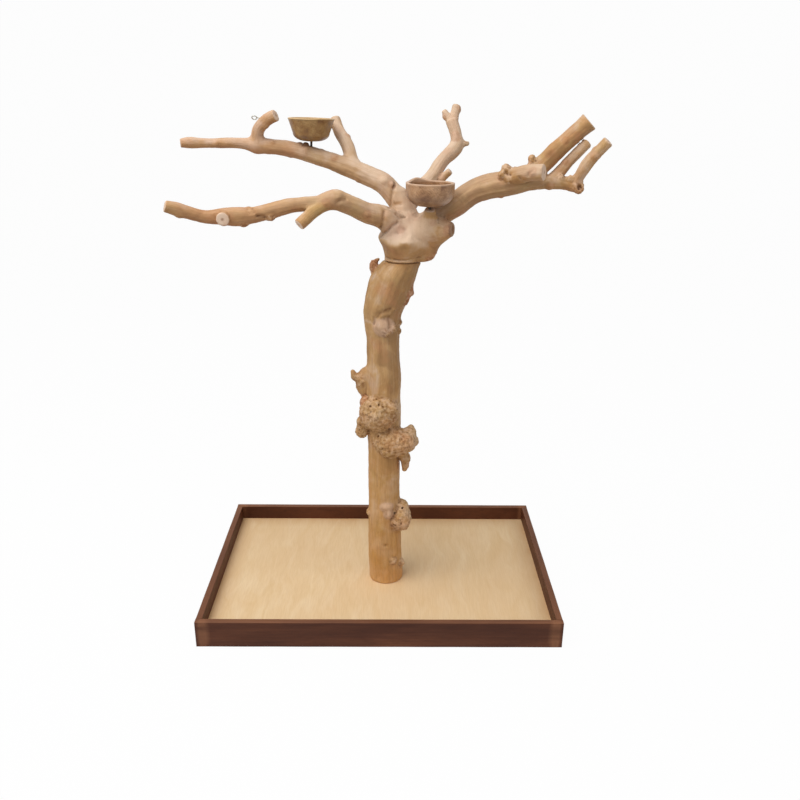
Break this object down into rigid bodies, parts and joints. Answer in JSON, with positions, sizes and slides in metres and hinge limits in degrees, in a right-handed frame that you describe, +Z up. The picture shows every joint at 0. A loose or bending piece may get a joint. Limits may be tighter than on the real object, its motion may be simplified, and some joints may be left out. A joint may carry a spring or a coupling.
{
  "type": "parrot play stand",
  "caption": "Natural-wood play stand for a parrot: a burled trunk with a branching screw-on crown, wooden bowls and a toy eye, standing in a framed tray.",
  "frame": {"origin": "middle of the tray's footprint on the floor", "axes": "+X to the right along the tray's length, +Y to the back, +Z up"},
  "size_m": [0.995, 0.61, 1.2726],
  "materials": {
    "stained_rail": "dark stained hardwood, satin",
    "pale_plywood": "clear coated pale plywood",
    "bare_softwood": "bare planed softwood",
    "tree_wood": "bark-free sanded natural wood, matt",
    "olive_bowl_wood": "turned wood, satin",
    "rosy_bowl_wood": "turned wood with a natural edge, matt",
    "zinc_steel": "zinc plated",
    "brass_insert": "turned",
    "bright_wire": "bright nickel plated wire"
  },
  "bodies": {
    "base": {"front_rail": "stained_rail", "back_rail": "stained_rail", "left_rail": "stained_rail", "right_rail": "stained_rail", "floor_panel": "pale_plywood", "left_batten": "bare_softwood", "right_batten": "bare_softwood", "centre_bearer": "bare_softwood", "batten_screws": "zinc_steel", "corner_dowels": "bare_softwood", "trunk": "tree_wood", "trunk_lag_screws": "zinc_steel", "lag_washers": "zinc_steel", "crown_rod": "zinc_steel"},
    "crown": {"crown": "tree_wood", "crown_insert": "brass_insert", "left_bowl_stud": "zinc_steel", "right_bowl_stud": "zinc_steel", "toy_eye": "bright_wire"},
    "left_bowl": {"left_bowl": "olive_bowl_wood", "left_bowl_insert": "brass_insert"},
    "right_bowl": {"right_bowl": "rosy_bowl_wood", "right_bowl_insert": "brass_insert"}
  },
  "joints": [
    {"name": "crown_turn", "type": "hinge", "parent": "base", "child": "crown", "pos_m": [0.051, -0.028, 0.9183], "axis": [0, 0, 1], "continuous": true},
    {"name": "left_bowl_turn", "type": "hinge", "parent": "crown", "child": "left_bowl", "pos_m": [-0.168, 0.043, 1.1763], "axis": [0.0244, 0, 0.9997], "continuous": true},
    {"name": "right_bowl_turn", "type": "hinge", "parent": "crown", "child": "right_bowl", "pos_m": [0.111, -0.092, 1.0503], "axis": [0, 0, 1], "continuous": true}
  ]
}
